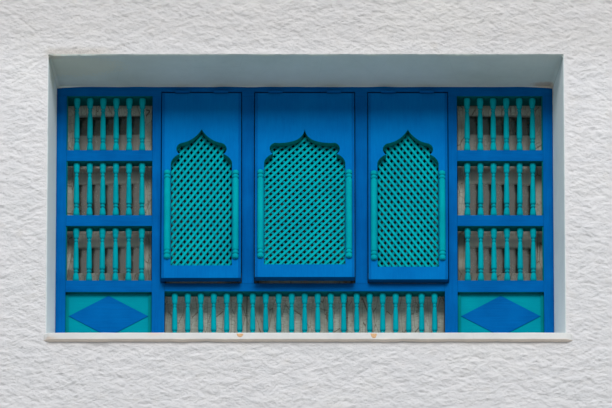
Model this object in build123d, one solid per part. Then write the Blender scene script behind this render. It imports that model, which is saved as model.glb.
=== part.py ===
from build123d import *
import math
import os

os.makedirs("parts", exist_ok=True)

# A painted timber lattice window in its masonry niche, in millimetres.
# X runs to the right seen from the street, Y runs into the wall, Z is up.
# The origin is the middle of the footprint, under the wall block.

# Wall block round the niche
wall_beside = 317.0
wall_above = 354.0
frame_base = 500.0
reveal_depth = 340.0
reveal_splay_left = 38.0
reveal_splay_right = 50.0
inner_reveal = 25.0

# Plaster sill
sill_nose = 20.0
sill_face = 39.0
sill_fall = 40.0
sill_ear_left = 17.0
sill_ear_right = 37.0

# Blue frame
frame_width = 2486.0
frame_height = 1526.0
member_depth = 60.0
head_depth = 105.0
head_height = 56.0
stile_width = 50.0
side_bay_width = 430.0
outer_mullion_width = 64.0
inner_mullion_width = 62.0
bottom_rail_height = 88.0
lower_rail_level = 368.0
lower_rail_height = 65.0
upper_rail_height = 61.0
centre_rail_level = 372.0
centre_rail_height = 45.0

# Teal panels with a batten at each side and a raised diamond
panel_setback = 22.0
panel_thickness = 18.0
batten_width = 16.0
batten_relief = 4.0
diamond_side_gap = 1.0
diamond_margin_top = 11.0
diamond_margin_bottom = 41.0
diamond_relief = 3.0

# Turned balusters
baluster_diameter = 33.0
baluster_end = 51.0
side_baluster_count = 6
centre_baluster_count = 21
turning_sides = 8

# Leaves hung on their top edges
leaf_thickness = 38.0
leaf_gap = 4.0
leaf_gap_top = 5.0
head_rebate = 25.0
mullion_rebate = 20.0
centre_leaf_width = 497.0
leaf_tilt = {"left": 2.6, "centre": 3.1, "right": 1.8}

# Arch cut through each leaf
arch_margin = 45.5
arch_top_margin = 213.0
arch_bottom_margin = 73.0
arch_rise = 79.0
lobe_top_inset = 52.0
lobe_inset = 28.0
lobe_drop = 28.0
notch_inset = 44.0
notch_drop = 64.0
spring_drop = 112.0
side_apex_slope = 27.0
centre_apex_slope = 5.0
side_knee = (0.48, 0.72)
centre_knee = (0.34, 0.85)
shoulder_knee = (0.66, 0.42)

# Lattice of two layers of slats behind each arch
slat_width = 15.0
slat_thickness = 4.0
slat_seat = 0.3
lattice_lap = 9.0
side_hole_width = 33.0
side_hole_height = 46.8
centre_hole_width = 37.5
centre_hole_height = 39.5
front_slats_rise_right = {"left": True, "centre": True, "right": False}

# Half round columns beside the lattice
column_diameter = 33.0
column_offset = 18.0
column_below_spring = 42.0
column_above_foot = 30.0

# Butt hinges on the top edge of each leaf
hinge_length = 72.0
hinge_barrel = 14.0
hinge_plate = 1.4
hinge_plate_depth = 19.0
hinge_inset = 66.0

# Inner window behind the balusters
inner_thickness = 50.0
inner_member = 44.0
inner_transom_level = 430.0
inner_transom_height = 40.0
casement_gap = 3.0
casement_seat = 0.4
casement_stile = 52.0
casement_rail = 60.0
casement_thickness = 38.0
centre_casement_count = 3
glass_thickness = 5.0
board_thickness = 22.0
board_seams = (-288.0, 211.0)

# Places worked out from the sizes above
wall_thickness = reveal_depth + head_depth + inner_thickness + inner_reveal
face_y = -(wall_thickness - sill_nose) / 2
frame_y = face_y + reveal_depth
frame_back = frame_y + member_depth
inner_y = frame_y + head_depth
inner_back = inner_y + inner_thickness
back_y = face_y + wall_thickness
seat_z = frame_base - sill_fall - sill_face
frame_top = frame_base + frame_height
wall_height = frame_top + wall_above
opening_top = frame_top - head_height
half_frame = frame_width / 2
half_wall = half_frame + wall_beside
bay_outer = half_frame - stile_width
bay_inner = bay_outer - side_bay_width
centre_half = bay_inner - outer_mullion_width
centre_field_half = centre_leaf_width / 2 + leaf_gap
mullion_far = centre_field_half + inner_mullion_width
leaf_field_half = centre_half + mullion_rebate
rail_top = frame_base + bottom_rail_height
centre_rail_z = frame_base + centre_rail_level
leaf_sill = centre_rail_z + centre_rail_height
leaf_head = opening_top + head_rebate
leaf_top = leaf_head - leaf_gap_top
leaf_height = leaf_top - leaf_gap - leaf_sill
rebate_depth = leaf_thickness + leaf_gap
baluster_y = frame_y + member_depth / 2
sides = {"left": -1, "right": 1}
splays = {-1: reveal_splay_left, 1: reveal_splay_right}


def box(x0, x1, y0, y1, z0, z1):
    """A block between two corners."""
    centre = Pos((x0 + x1) / 2, (y0 + y1) / 2, (z0 + z1) / 2)
    return centre * Box(abs(x1 - x0), y1 - y0, z1 - z0)


def write(node, pieces):
    """Write one node, from one solid or from several that stand apart."""
    solids = [solid for piece in pieces for solid in piece.solids()]
    shape = solids[0] if len(solids) == 1 else Compound(children=solids)
    export_step(shape, f"parts/{node}.step")


def turned(stations):
    """A turned piece, downwards from z = 0, with flats between its stations."""
    rings = []
    for depth, diameter in stations:
        radius = diameter / 2 / math.cos(math.pi / turning_sides)
        angles = [2 * math.pi * (index + 0.5) / turning_sides for index in range(turning_sides)]
        rings.append([Vector(radius * math.cos(a), radius * math.sin(a), -depth) for a in angles])
    faces = [Face(Wire.make_polygon(ring)) for ring in (rings[0], rings[-1])]
    for upper, lower in zip(rings[:-1], rings[1:]):
        for index in range(turning_sides):
            after = (index + 1) % turning_sides
            corners = [upper[index], upper[after], lower[after], lower[index]]
            faces.append(Face(Wire.make_polygon(corners)))
    return Solid(Shell(faces))


# Masonry
def side_wall(side):
    """The wall beside the niche, with its reveal opening out to the street."""
    plan = Polyline(
        (side * half_wall, face_y),
        (side * (half_frame + splays[side]), face_y),
        (side * half_frame, frame_y),
        (side * half_frame, back_y),
        (side * half_wall, back_y),
        close=True,
    )
    return extrude(Pos(0, 0, seat_z) * make_face(plan), frame_top - seat_z, dir=(0, 0, 1))


def sloping_sill():
    """The sill from its nose to the back of the wall, between the side walls."""
    section = Polyline(
        (face_y - sill_nose, seat_z),
        (face_y - sill_nose, seat_z + sill_face),
        (frame_y, frame_base),
        (back_y, frame_base),
        (back_y, seat_z),
        close=True,
    )
    left = -half_frame - reveal_splay_left - sill_ear_left
    right = half_frame + reveal_splay_right + sill_ear_right
    return extrude(Plane.YZ.offset(left) * make_face(section), right - left, dir=(1, 0, 0))


walls = {name: side_wall(side) for name, side in sides.items()}
for name, wall in walls.items():
    write(f"wall_{name}", [wall])
write("wall_below", [box(-half_wall, half_wall, face_y, back_y, 0, seat_z)])
write("wall_head", [box(-half_wall, half_wall, face_y, back_y, frame_top, wall_height)])
write("sill", [sloping_sill() - walls["left"] - walls["right"]])

# Blue frame
leaf_fields = {
    "left": (-leaf_field_half, -mullion_far),
    "centre": (-centre_field_half, centre_field_half),
    "right": (mullion_far, leaf_field_half),
}
head = box(-half_frame, half_frame, frame_y, inner_y, opening_top, frame_top)
for x0, x1 in leaf_fields.values():
    head = head - box(x0, x1, frame_y, frame_y + rebate_depth, opening_top, leaf_head)
write("frame_head", [head])
write("frame_bottom_rail", [box(-bay_outer, bay_outer, frame_y, frame_back, frame_base, rail_top)])
write("frame_centre_rail", [box(-centre_half, centre_half, frame_y, frame_back, centre_rail_z, leaf_sill)])


def outer_mullion(side):
    """The post beside an outer leaf, cut back where the leaf shuts."""
    post = box(side * centre_half, side * bay_inner, frame_y, frame_back, rail_top, opening_top)
    shut = box(side * centre_half, side * leaf_field_half, frame_y, frame_y + rebate_depth,
               leaf_sill, opening_top)
    return post - shut


def inner_mullion(side):
    """The post between two leaves."""
    return box(side * centre_field_half, side * mullion_far, frame_y, frame_back, leaf_sill, opening_top)


for name, side in sides.items():
    stile = box(side * bay_outer, side * half_frame, frame_y, frame_back, frame_base, opening_top)
    write(f"frame_stile_{name}", [stile])
    write(f"mullion_outer_{name}", [outer_mullion(side)])
    write(f"mullion_inner_{name}", [inner_mullion(side)])

# Rails, panels and diamonds of the two side bays
lower_rail = (frame_base + lower_rail_level, frame_base + lower_rail_level + lower_rail_height)
row_height = (opening_top - lower_rail[1] - 2 * upper_rail_height) / 3
middle_rail = (lower_rail[1] + row_height, lower_rail[1] + row_height + upper_rail_height)
upper_rail = (middle_rail[1] + row_height, middle_rail[1] + row_height + upper_rail_height)
panel_y = frame_y + panel_setback


def diamond(x0, x1):
    """The raised diamond between a panel's battens, as high as its margins leave."""
    low = rail_top + diamond_margin_bottom
    high = lower_rail[0] - diamond_margin_top
    inset = batten_width + diamond_side_gap
    outline = Polyline(
        (x0 + inset, (low + high) / 2),
        ((x0 + x1) / 2, low),
        (x1 - inset, (low + high) / 2),
        ((x0 + x1) / 2, high),
        close=True,
    )
    front = Plane((0, panel_y, 0), x_dir=(1, 0, 0), z_dir=(0, -1, 0))
    return extrude(front * make_face(outline), diamond_relief)


def panel(x0, x1):
    """The board of one panel with the battens at its sides."""
    board = box(x0, x1, panel_y, panel_y + panel_thickness, rail_top, lower_rail[0])
    for edge, inward in ((x0, batten_width), (x1, -batten_width)):
        board += box(edge, edge + inward, panel_y - batten_relief, panel_y, rail_top, lower_rail[0])
    return board


for name, side in sides.items():
    x0, x1 = sorted((side * bay_inner, side * bay_outer))
    rails = [box(x0, x1, frame_y, frame_back, *band) for band in (lower_rail, middle_rail, upper_rail)]
    write(f"rails_{name}", rails)
    write(f"panel_{name}", [panel(x0, x1)])
    write(f"diamond_{name}", [diamond(x0, x1)])

# Turned balusters: distances from the end, and shares of the diameter
head_turning = ((0, 1.0), (21, 0.97), (34, 0.67), (46, 0.78), (60, 0.57))
foot_turning = ((0, 1.0), (31, 0.97), (63, 0.57), (75, 0.67), (82, 0.60))
shaft_foot = (92, 0.81)


def baluster(height):
    """One baluster that fills an opening of this height."""
    top = [(depth, share * baluster_diameter) for depth, share in head_turning]
    rising = (shaft_foot,) + foot_turning[::-1]
    return turned(top + [(height - depth, share * baluster_diameter) for depth, share in rising])


def row_of_balusters(x0, x1, count, low, high):
    """A row of like balusters between two rails and two posts."""
    one = baluster(high - low)
    first = x0 + baluster_end
    pitch = (x1 - x0 - 2 * baluster_end) / (count - 1)
    return [Pos(first + pitch * index, baluster_y, high) * one for index in range(count)]


rows = {
    "bottom": (lower_rail[1], middle_rail[0]),
    "middle": (middle_rail[1], upper_rail[0]),
    "top": (upper_rail[1], opening_top),
}
for name, side in sides.items():
    x0, x1 = sorted((side * bay_inner, side * bay_outer))
    for level, (low, high) in rows.items():
        write(f"balusters_{name}_{level}", row_of_balusters(x0, x1, side_baluster_count, low, high))
centre_row = row_of_balusters(-centre_half, centre_half, centre_baluster_count, rail_top, centre_rail_z)
write("balusters_centre", centre_row)

# Leaves, drawn upright with the top front edge on the X axis
lobe_z = -arch_top_margin - arch_rise
spring_z = lobe_z - spring_drop
foot_z = arch_bottom_margin - leaf_height


def half_arch(half, slope, knee):
    """The right half of the arch, from its apex down to its spring.

    The slope is the angle between the flare and a plumb line at the apex.
    The knee is where the flare levels off, in shares of its width and rise.
    """
    apex = (0, -arch_top_margin)
    lobe_top = (half - lobe_top_inset, lobe_z)
    lobe_side = (half - lobe_inset, lobe_z - lobe_drop)
    notch = (half - notch_inset, lobe_z - notch_drop)
    spring = (half, spring_z)
    flare_start = (math.sin(math.radians(slope)), -math.cos(math.radians(slope)))
    flare_knee = (lobe_top[0] * knee[0], -arch_top_margin - arch_rise * knee[1])
    shoulder = (
        notch[0] + (spring[0] - notch[0]) * shoulder_knee[0],
        notch[1] + (spring[1] - notch[1]) * shoulder_knee[1],
    )
    steep = TangentArc(apex, flare_knee, tangent=flare_start)
    return [
        steep,
        TangentArc(flare_knee, lobe_top, tangent=steep % 1),
        ThreePointArc(lobe_top, lobe_side, notch),
        ThreePointArc(notch, shoulder, spring),
    ]


def arch_face(half, slope, knee):
    """The whole opening of a leaf, with its pointed, lobed head."""
    right = half_arch(half, slope, knee)
    left = [mirror(edge, Plane.YZ) for edge in right]
    lower = Polyline((half, spring_z), (half, foot_z), (-half, foot_z), (-half, spring_z))
    return make_face(right + left + [lower])


def upright(sketch, depth, thickness):
    """A flat outline stood up in the XZ plane and given its thickness."""
    plane = Plane((0, depth, 0), x_dir=(1, 0, 0), z_dir=(0, -1, 0))
    return extrude(plane * sketch, -thickness)


def lattice_face(half):
    """The outline that the slats run out to, hidden behind the leaf."""
    reach = half + lattice_lap
    eave_reach = reach - lobe_top_inset + lobe_inset
    eave = lobe_z + lattice_lap
    foot = foot_z - lattice_lap
    peak = -arch_top_margin + lattice_lap
    right = [(reach, foot), (reach, eave - lobe_drop), (eave_reach, eave), (lattice_lap * 2, peak)]
    left = [(-x, z) for x, z in reversed(right)]
    return make_face(Polyline(*right, *left, close=True))


def slat_layer(half, angle, spacing, depth):
    """One layer of parallel slats, cut off along the lattice's outline."""
    outline = lattice_face(half)
    middle = Pos(0, (foot_z - arch_top_margin) / 2) * Rot(0, 0, angle)
    count = int(leaf_height / spacing)
    slats = []
    for index in range(-count, count + 1):
        strip = middle * Pos(0, index * spacing) * Rectangle(2 * leaf_height, slat_width)
        piece = outline & strip
        faces = piece.faces() if piece is not None else []
        slats += [upright(face, depth, slat_thickness) for face in faces if face.area > slat_width**2]
    return slats


def lattice(name, half):
    """Two layers of slats that cross, the front one against the leaf."""
    wide = centre_hole_width if name == "centre" else side_hole_width
    tall = centre_hole_height if name == "centre" else side_hole_height
    slope = math.degrees(math.atan2(tall, wide))
    lean = slope if front_slats_rise_right[name] else -slope
    spacing = wide * tall / math.hypot(wide, tall)
    front_depth = leaf_thickness + slat_seat
    back_depth = front_depth + slat_thickness + slat_seat
    return slat_layer(half, lean, spacing, front_depth) + slat_layer(half, -lean, spacing, back_depth)


# Half columns: distances from the end, and shares of the diameter
column_turning = ((0, 0.58), (9, 0.90), (26, 1.0), (31, 0.84), (37, 1.0), (48, 1.0), (53, 0.84), (59, 1.0))


def columns(half):
    """The pair of half round columns on the face of a leaf."""
    top_z = spring_z - column_below_spring
    height = top_z - foot_z - column_above_foot
    stations = [(depth, share * column_diameter) for depth, share in column_turning]
    stations += [(height - depth, share * column_diameter) for depth, share in reversed(column_turning)]
    reach = column_diameter
    one = turned(stations) & box(-reach, reach, -reach, 0, -height, 0)
    place = half + column_offset
    return [Pos(side * place, 0, top_z) * one for side in sides.values()]


def hinge(tilt):
    """A butt hinge: its barrel, a plate under the head and one on the leaf."""
    half = hinge_length / 2
    barrel_y = -hinge_barrel / 2
    ring = Pos(barrel_y, leaf_gap_top / 2) * RegularPolygon(hinge_barrel / 2, turning_sides)
    barrel = extrude(Plane.YZ.offset(-half) * ring, hinge_length, dir=(1, 0, 0))
    fixed = box(-half, half, barrel_y, hinge_plate_depth, leaf_gap_top - hinge_plate, leaf_gap_top)
    moving = box(-half, half, barrel_y, hinge_plate_depth, 0, hinge_plate)
    return barrel + fixed + Rot(-tilt, 0, 0) * moving


def swing(piece, tilt, middle):
    """Hang a leaf's piece from its top front edge, open by its tilt."""
    return Pos(middle, frame_y, leaf_top) * Rot(-tilt, 0, 0) * piece


for name, (x0, x1) in leaf_fields.items():
    middle = (x0 + x1) / 2
    width = x1 - x0 - 2 * leaf_gap
    half = width / 2 - arch_margin
    tilt = leaf_tilt[name]
    board = box(-width / 2, width / 2, 0, leaf_thickness, -leaf_height, 0)
    flare = (centre_apex_slope, centre_knee) if name == "centre" else (side_apex_slope, side_knee)
    board = board - upright(arch_face(half, *flare), 0, leaf_thickness)
    write(f"leaf_{name}_board", [swing(board, tilt, middle)])
    write(f"leaf_{name}_lattice", [swing(slat, tilt, middle) for slat in lattice(name, half)])
    write(f"leaf_{name}_columns", [swing(column, tilt, middle) for column in columns(half)])
    reach = width / 2 - hinge_inset - hinge_length / 2
    hinges = [Pos(middle + side * reach, frame_y, leaf_top) * hinge(tilt) for side in sides.values()]
    write(f"leaf_{name}_hinges", hinges)

# Inner window
inner_low = frame_base + inner_member
inner_high = frame_top - inner_member
transom_low = frame_base + inner_transom_level
transom_high = transom_low + inner_transom_height
inner_bays = {
    "left": (-half_frame + inner_member, -bay_inner),
    "centre": (-centre_half, centre_half),
    "right": (bay_inner, half_frame - inner_member),
}
inner_frame = box(-half_frame, half_frame, inner_y, inner_back, frame_base, frame_top)
for x0, x1 in inner_bays.values():
    inner_frame = inner_frame - box(x0, x1, inner_y, inner_back, inner_low, transom_low)
    inner_frame = inner_frame - box(x0, x1, inner_y, inner_back, transom_high, inner_high)
write("inner_frame", [inner_frame])

casement_low = transom_high + casement_seat
casement_high = inner_high - casement_gap
casement_y = inner_y + (inner_thickness - casement_thickness) / 2
glass_y = casement_y + (casement_thickness - glass_thickness) / 2


def casement(x0, x1):
    """A glazed leaf of the inner window, and its pane."""
    sight = (x0 + casement_stile, x1 - casement_stile)
    height = (casement_low + casement_rail, casement_high - casement_rail)
    ring = box(x0, x1, casement_y, casement_y + casement_thickness, casement_low, casement_high)
    ring = ring - box(*sight, casement_y, casement_y + casement_thickness, *height)
    pane = box(*sight, glass_y, glass_y + glass_thickness, *height)
    return ring, pane


def spread(x0, x1, count):
    """Equal widths between two edges, with a casement gap beside each."""
    step = (x1 - x0 - casement_gap) / count
    return [(x0 + casement_gap + step * index, x0 + step * (index + 1)) for index in range(count)]


casement_nodes = {
    "inner_casement_left": ("left", 1),
    "inner_casements_centre": ("centre", centre_casement_count),
    "inner_casement_right": ("right", 1),
}
panes = []
for node, (bay, count) in casement_nodes.items():
    glazed = [casement(*edges) for edges in spread(*inner_bays[bay], count)]
    write(node, [ring for ring, pane in glazed])
    panes += [pane for ring, pane in glazed]
write("inner_glass", panes)

board_y = inner_y + (inner_thickness - board_thickness) / 2
seams = (inner_bays["centre"][0],) + board_seams + (inner_bays["centre"][1],)
board_edges = [inner_bays["left"], inner_bays["right"]] + list(zip(seams[:-1], seams[1:]))
half_gap = casement_gap / 2
boards = [
    box(x0 + half_gap, x1 - half_gap, board_y, board_y + board_thickness, inner_low, transom_low)
    for x0, x1 in board_edges
]
write("inner_boards", boards)
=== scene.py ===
import bpy
import bmesh
import math
import random
from mathutils import Matrix, Vector, noise


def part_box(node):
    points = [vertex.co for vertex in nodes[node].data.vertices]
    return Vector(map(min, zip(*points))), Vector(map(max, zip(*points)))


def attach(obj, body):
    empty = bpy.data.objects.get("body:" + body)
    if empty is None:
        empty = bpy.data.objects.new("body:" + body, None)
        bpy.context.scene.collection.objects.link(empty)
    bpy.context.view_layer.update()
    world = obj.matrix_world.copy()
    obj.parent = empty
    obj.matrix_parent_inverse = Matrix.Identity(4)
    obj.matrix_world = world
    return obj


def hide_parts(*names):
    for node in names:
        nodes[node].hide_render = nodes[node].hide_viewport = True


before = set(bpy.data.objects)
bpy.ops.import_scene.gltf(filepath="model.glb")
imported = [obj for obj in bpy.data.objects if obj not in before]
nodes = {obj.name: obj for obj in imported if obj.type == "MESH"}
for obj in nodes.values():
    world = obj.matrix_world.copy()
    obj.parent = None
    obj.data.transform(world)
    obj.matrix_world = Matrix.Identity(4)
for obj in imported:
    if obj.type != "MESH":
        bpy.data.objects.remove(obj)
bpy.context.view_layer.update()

scene = bpy.context.scene

# Sizes repeated from the part, in metres
FACE_Y = -0.250
FRAME_Y = 0.090
INNER_Y = 0.195
BACK_Y = 0.270
SEAT_Z = 0.421
FRAME_TOP = 2.026
OPENING_TOP = 1.970
HALF_FRAME = 1.243
HALF_WALL = 1.560
WALL_HEIGHT = 2.380
SPLAY = {"left": 0.038, "right": 0.050}
SIDES = {"left": -1, "right": 1}
BAY_OUTER = 1.193
BAY_INNER = 0.763
CENTRE_HALF = 0.699
CENTRE_RAIL_LOW = 0.872
BALUSTER = 0.033
BALUSTER_Y = 0.120
BAYS = {"left": (-1.199, -0.763), "centre": (-0.699, 0.699), "right": (0.763, 1.199)}
PANE_SKEW = 0.046
LEAF_TOP = 1.990
LEAF_HEIGHT = 1.069
TILT = {"left": 2.6, "centre": 3.1, "right": 1.8}
LEAF_MIDDLE = {"left": -0.51675, "centre": 0.0, "right": 0.51675}
LEAF_WIDTH = {"left": 0.3965, "centre": 0.497, "right": 0.3965}
ARCH_MARGIN = 0.0455
COLUMN_OFFSET = 0.018
COLUMN_TOP = -0.446
COLUMN_HEIGHT = 0.520
SLAT_SLIM = 0.0013

# The photograph looks up at the window from the street, with upright lines kept parallel
VIEW_RISE = 27.23
VIEW_FAR = 85.0
VIEW_LENS = 1000.0
VIEW_TARGET = Vector((0.0065, FRAME_Y, 1.3616))


# Materials
class Paint:
    """A small helper that lays out one node material."""

    def __init__(self, name):
        self.material = bpy.data.materials.new(name)
        self.material.use_nodes = True
        self.tree = self.material.node_tree
        self.shader = self.tree.nodes["Principled BSDF"]
        self.output = self.tree.nodes["Material Output"]
        self.place = self.tree.nodes.new("ShaderNodeTexCoord").outputs["Object"]

    def link(self, source, target):
        self.tree.links.new(source, target)

    def new(self, kind, **settings):
        node = self.tree.nodes.new(kind)
        for key, value in settings.items():
            setattr(node, key, value)
        return node

    def feed(self, socket, value):
        if isinstance(value, bpy.types.NodeSocket):
            self.link(value, socket)
        elif value is not None:
            socket.default_value = value

    def stretch(self, scale, shift=(0, 0, 0), turn=0.0):
        node = self.new("ShaderNodeMapping", vector_type="TEXTURE" if turn else "POINT")
        self.link(self.place, node.inputs["Vector"])
        if turn:
            node.inputs["Rotation"].default_value = (0, turn, 0)
            scale = tuple(1 / share for share in scale)
        node.inputs["Scale"].default_value = scale
        node.inputs["Location"].default_value = shift
        return node.outputs["Vector"]

    def noise(self, size, detail=4.0, rough=0.55, stretch=(1, 1, 1), shift=(0, 0, 0), warp=0.0, turn=0.0):
        node = self.new("ShaderNodeTexNoise")
        self.link(self.stretch(stretch, shift, turn), node.inputs["Vector"])
        node.inputs["Scale"].default_value = 1.0 / size
        node.inputs["Detail"].default_value = detail
        node.inputs["Roughness"].default_value = rough
        node.inputs["Distortion"].default_value = warp
        return node.outputs["Fac"]

    def cells(self, size, feature="F1", stretch=(1, 1, 1), shift=(0, 0, 0)):
        node = self.new("ShaderNodeTexVoronoi", feature=feature)
        self.link(self.stretch(stretch, shift), node.inputs["Vector"])
        node.inputs["Scale"].default_value = 1.0 / size
        return node.outputs["Distance"]

    def ramp(self, value, *stops):
        node = self.new("ShaderNodeValToRGB")
        self.link(value, node.inputs["Fac"])
        elements = node.color_ramp.elements
        while len(elements) < len(stops):
            elements.new(0.5)
        for element, (position, colour) in zip(elements, stops):
            element.position = position
            if not isinstance(colour, tuple):
                colour = (colour, colour, colour)
            element.color = (*colour[:3], 1.0)
        return node.outputs["Color"]

    def math(self, operation, first, second=None, third=None, clamp=False):
        node = self.new("ShaderNodeMath", operation=operation, use_clamp=clamp)
        for socket, value in zip(node.inputs, (first, second, third)):
            self.feed(socket, value)
        return node.outputs["Value"]

    def mix(self, factor, first, second, blend="MIX"):
        node = self.new("ShaderNodeMix", data_type="RGBA", blend_type=blend)
        self.feed(node.inputs["Factor"], factor)
        for socket, value in zip((node.inputs[6], node.inputs[7]), (first, second)):
            if isinstance(value, tuple):
                value = (*value[:3], 1.0)
            self.feed(socket, value)
        return node.outputs[2]

    def axis(self, name):
        node = self.new("ShaderNodeSeparateXYZ")
        self.link(self.place, node.inputs["Vector"])
        return node.outputs[name]

    def facing(self, name):
        node = self.new("ShaderNodeSeparateXYZ")
        self.link(self.new("ShaderNodeNewGeometry").outputs["Normal"], node.inputs["Vector"])
        return node.outputs[name]

    def hollows(self, reach):
        """Dark in corners and crevices, light on open faces."""
        node = self.new("ShaderNodeAmbientOcclusion", samples=6)
        node.inputs["Distance"].default_value = reach
        return node.outputs["AO"]

    def edges(self, radius):
        """The share by which a rounded normal leaves the true one, along edges."""
        bevel = self.new("ShaderNodeBevel", samples=4)
        bevel.inputs["Radius"].default_value = radius
        dot = self.new("ShaderNodeVectorMath", operation="DOT_PRODUCT")
        self.link(bevel.outputs["Normal"], dot.inputs[0])
        self.link(self.new("ShaderNodeNewGeometry").outputs["Normal"], dot.inputs[1])
        return self.math("SUBTRACT", 1.0, dot.outputs["Value"], clamp=True)

    def random_per_piece(self):
        return self.new("ShaderNodeObjectInfo").outputs["Random"]

    def bump(self, height, strength, distance, under=None):
        node = self.new("ShaderNodeBump")
        node.inputs["Strength"].default_value = strength
        node.inputs["Distance"].default_value = distance
        self.link(height, node.inputs["Height"])
        if under is not None:
            self.link(under, node.inputs["Normal"])
        return node.outputs["Normal"]

    def finish(self, colour, rough, normal=None, **settings):
        self.feed(self.shader.inputs["Base Color"], colour)
        self.feed(self.shader.inputs["Roughness"], rough)
        if normal is not None:
            self.link(normal, self.shader.inputs["Normal"])
        for key, value in settings.items():
            self.shader.inputs[key.replace("_", " ")].default_value = value
        return self.material


def srgb(*values):
    """Linear colour for given eight bit values."""
    return tuple((v / 255 / 12.92) if v <= 10.31 else ((v / 255 + 0.055) / 1.055) ** 2.4 for v in values)


def timber_paint(name, base, dark, light, grain, hollow=0.030, rough=0.5, darkening=0.42):
    """Brushed paint on timber, with strokes along the grain and painted shade in its hollows."""
    paint = Paint(name)
    along = {"x": (0.05, 1, 1), "y": (1, 0.05, 1), "z": (1, 1, 0.05)}[grain]
    cloud = paint.noise(0.16, 4, 0.55, shift=(3, 1, 7))
    strokes = paint.noise(0.006, 5, 0.62, stretch=along, shift=(1, 5, 2))
    fibres = paint.noise(0.0013, 3, 0.7, stretch=along, shift=(9, 2, 4))
    colour = paint.ramp(cloud, (0.30, dark), (0.52, base), (0.74, light))
    worn = paint.ramp(strokes, (0.30, dark), (0.50, base), (0.72, light))
    colour = paint.mix(0.42, colour, worn)
    edge = paint.math("MULTIPLY", paint.edges(0.0030), 2.0, clamp=True)
    broken = paint.math("MULTIPLY", edge, paint.ramp(paint.noise(0.012, 3), (0.42, 0.05), (0.66, 0.7)))
    pale = tuple(min(1.0, c * 1.45 + 0.012) for c in light)
    colour = paint.mix(broken, colour, pale)
    # Painted shade: darker in corners and crevices, down to the darkening share, within the hollow reach.
    painted_shade = paint.ramp(paint.hollows(hollow), (0.20, darkening), (0.85, 1.0))
    colour = paint.mix(1.0, colour, painted_shade, "MULTIPLY")
    gloss = paint.math("MULTIPLY_ADD", paint.noise(0.03, 3), 0.20, rough - 0.08)
    height = paint.math("ADD", paint.math("MULTIPLY", strokes, 0.8), paint.math("MULTIPLY", fibres, 0.25))
    normal = paint.bump(height, 0.30, 0.0012)
    return paint.finish(colour, gloss, normal, Specular_IOR_Level=0.025)


BLUE = (srgb(0, 94, 166), srgb(0, 82, 150), srgb(0, 106, 180))
LEAF_BLUE = (srgb(0, 110, 184), srgb(0, 99, 173), srgb(0, 120, 194))
# A lighter copy of the baluster teal for the top rows, painted light where the soffit shades them.
TOP_ROWS_PAINTED_LIGHT_TEAL = (srgb(0, 162, 175), srgb(0, 145, 160), srgb(0, 176, 185))
TEAL = (srgb(0, 154, 167), srgb(0, 136, 151), srgb(0, 168, 178))
COLUMN_TEAL = (srgb(0, 158, 172), srgb(0, 140, 156), srgb(0, 172, 182))
PANEL_TEAL = (srgb(0, 142, 160), srgb(0, 130, 150), srgb(0, 152, 166))
BATTEN_TEAL = (srgb(0, 124, 132), srgb(0, 108, 118), srgb(0, 136, 142))
ARCH_TEAL = (srgb(0, 126, 124), srgb(0, 106, 108), srgb(0, 142, 138))
DARK_TEAL = (srgb(0, 104, 108), srgb(0, 84, 90), srgb(0, 120, 122))
LATTICE_TEAL = (srgb(0, 170, 180), srgb(0, 152, 166), srgb(0, 186, 192))
BACK_TEAL = (srgb(0, 144, 164), srgb(0, 126, 148), srgb(0, 158, 174))
# The hollow and darkening arguments set how far and how deep the painted shade in corners reaches.
blue_x = timber_paint("blue_paint_x", *BLUE, "x")
blue_z = timber_paint("blue_paint_z", *BLUE, "z")
leaf_blue = timber_paint("blue_paint_leaf", *LEAF_BLUE, "z")
teal_z = timber_paint("teal_paint_z", *TEAL, "z", hollow=0.020, darkening=0.15)
top_rows_painted_light_teal = timber_paint("teal_paint_top_rows_painted_light", *TOP_ROWS_PAINTED_LIGHT_TEAL, "z", hollow=0.020, darkening=0.15)
column_teal = timber_paint("teal_paint_columns", *COLUMN_TEAL, "z", hollow=0.012, darkening=0.22)
# A darker copy of the blue, painted shade on the leaves' undersides.
shaded_blue = timber_paint("blue_paint_underside_shaded", srgb(0, 71, 122), srgb(0, 62, 110), srgb(0, 80, 134), "x")
# The centre rail's blue reaches far into painted shade, standing in for the shadow under the leaves.
shaded_rail_blue = timber_paint("blue_paint_rail_shaded", *BLUE, "x", hollow=0.100, darkening=0.05)
arch_teal = timber_paint("teal_paint_arch", *ARCH_TEAL, "z", darkening=0.60)
panel_teal = timber_paint("teal_paint_panel", *PANEL_TEAL, "x")
batten_teal = timber_paint("teal_paint_batten", *BATTEN_TEAL, "z", hollow=0.012)
dark_teal_x = timber_paint("teal_paint_edge_x", *DARK_TEAL, "x")
dark_teal_z = timber_paint("teal_paint_edge_z", *DARK_TEAL, "z")
lattice_teal = timber_paint("teal_paint_lattice", *LATTICE_TEAL, "z", hollow=0.010)
back_teal = timber_paint("teal_paint_back_slats", *BACK_TEAL, "z", hollow=0.010)


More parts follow.
